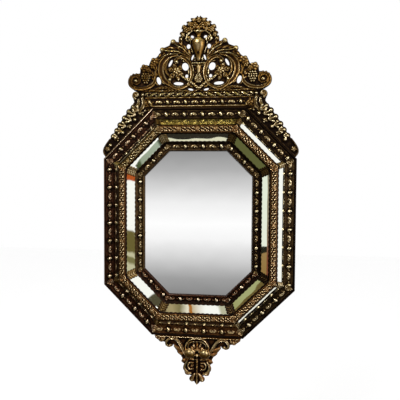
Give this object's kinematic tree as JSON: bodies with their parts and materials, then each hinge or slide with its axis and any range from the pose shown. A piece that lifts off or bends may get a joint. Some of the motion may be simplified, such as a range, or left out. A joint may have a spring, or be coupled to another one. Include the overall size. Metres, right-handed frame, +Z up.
{
  "type": "framed mirror",
  "caption": "Octagonal cushion wall mirror with slanted mirror panels, embossed brass strips, pierced urn crest, leafy brackets, scrolled pendant and swinging D rings at the back.",
  "frame": {"origin": "middle of the octagon on the wall plane, which is the rear face of the backboard", "axes": "+Z up, +Y towards the wall, so the mirror faces -Y; +X to the viewer's right"},
  "size_m": [0.529, 0.0461, 0.995],
  "materials": {
    "wood": "dark stained, waxed",
    "brass": "antique, dark in the recesses",
    "mirror": "silvered, slightly aged",
    "steel": "plain, dulled"
  },
  "bodies": {
    "mirror": {"rail_top": "wood", "outer_bead_strip_top": "brass", "ridge_strip_top": "brass", "inner_bead_strip_top": "brass", "outer_mirror_top": "mirror", "inner_mirror_top": "mirror", "rail_top_right": "wood", "outer_bead_strip_top_right": "brass", "ridge_strip_top_right": "brass", "inner_bead_strip_top_right": "brass", "outer_mirror_top_right": "mirror", "inner_mirror_top_right": "mirror", "rail_right": "wood", "outer_bead_strip_right": "brass", "ridge_strip_right": "brass", "inner_bead_strip_right": "brass", "outer_mirror_right": "mirror", "inner_mirror_right": "mirror", "rail_bottom_right": "wood", "outer_bead_strip_bottom_right": "brass", "ridge_strip_bottom_right": "brass", "inner_bead_strip_bottom_right": "brass", "outer_mirror_bottom_right": "mirror", "inner_mirror_bottom_right": "mirror", "rail_bottom": "wood", "outer_bead_strip_bottom": "brass", "ridge_strip_bottom": "brass", "inner_bead_strip_bottom": "brass", "outer_mirror_bottom": "mirror", "inner_mirror_bottom": "mirror", "rail_bottom_left": "wood", "outer_bead_strip_bottom_left": "brass", "ridge_strip_bottom_left": "brass", "inner_bead_strip_bottom_left": "brass", "outer_mirror_bottom_left": "mirror", "inner_mirror_bottom_left": "mirror", "rail_left": "wood", "outer_bead_strip_left": "brass", "ridge_strip_left": "brass", "inner_bead_strip_left": "brass", "outer_mirror_left": "mirror", "inner_mirror_left": "mirror", "rail_top_left": "wood", "outer_bead_strip_top_left": "brass", "ridge_strip_top_left": "brass", "inner_bead_strip_top_left": "brass", "outer_mirror_top_left": "mirror", "inner_mirror_top_left": "mirror", "mitre_covers": "brass", "center_mirror": "mirror", "backboard": "wood", "crest_panel": "brass", "crest_base_strip": "brass", "bracket_left": "brass", "bracket_right": "brass", "pendant": "brass", "hanger_plates": "steel", "hanger_screws": "steel"},
    "left_ring": {"ring_left": "steel"},
    "right_ring": {"ring_right": "steel"}
  },
  "joints": [
    {"name": "left_ring_swing", "type": "hinge", "parent": "mirror", "child": "left_ring", "pos_m": [-0.204, -0.0028, 0.10003], "axis": [1, 0, 0], "range_deg": [0, 180]},
    {"name": "right_ring_swing", "type": "hinge", "parent": "mirror", "child": "right_ring", "pos_m": [0.204, -0.0028, 0.10003], "axis": [1, 0, 0], "range_deg": [0, 180]}
  ]
}
